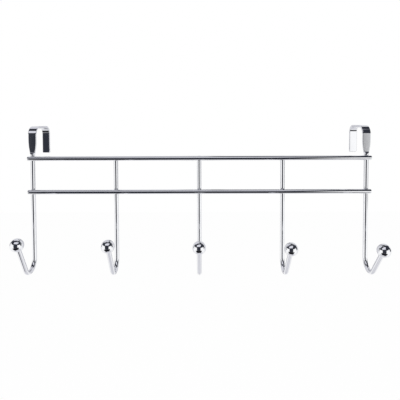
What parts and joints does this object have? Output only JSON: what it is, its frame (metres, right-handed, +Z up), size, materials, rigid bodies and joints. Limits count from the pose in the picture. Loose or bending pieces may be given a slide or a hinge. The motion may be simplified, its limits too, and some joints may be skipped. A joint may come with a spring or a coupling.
{
  "type": "over door hook",
  "caption": "Chrome wire rack of ball-tipped hooks welded behind rails, hung over a door's top edge by straps pressed flat from its outer wires.",
  "frame": {"origin": "middle of the door's top front edge: the wires' backs touch the door's face at Y = 0 and the straps' undersides lie on its top edge at Z = 0", "axes": "+X to the right along the rails as seen from the room, +Y from the room through the door, +Z up"},
  "size_m": [0.394, 0.0949, 0.1652],
  "materials": {
    "plated_wire": "polished chrome plate on steel wire",
    "plated_ball": "polished chrome plate on a steel ball"
  },
  "bodies": {
    "root": {"top_rail": "plated_wire", "bottom_rail": "plated_wire", "left_strap_hook": "plated_wire", "right_strap_hook": "plated_wire", "middle_hook_1": "plated_wire", "middle_hook_2": "plated_wire", "middle_hook_3": "plated_wire", "ball_1": "plated_ball", "ball_2": "plated_ball", "ball_3": "plated_ball", "ball_4": "plated_ball", "ball_5": "plated_ball"}
  },
  "joints": []
}
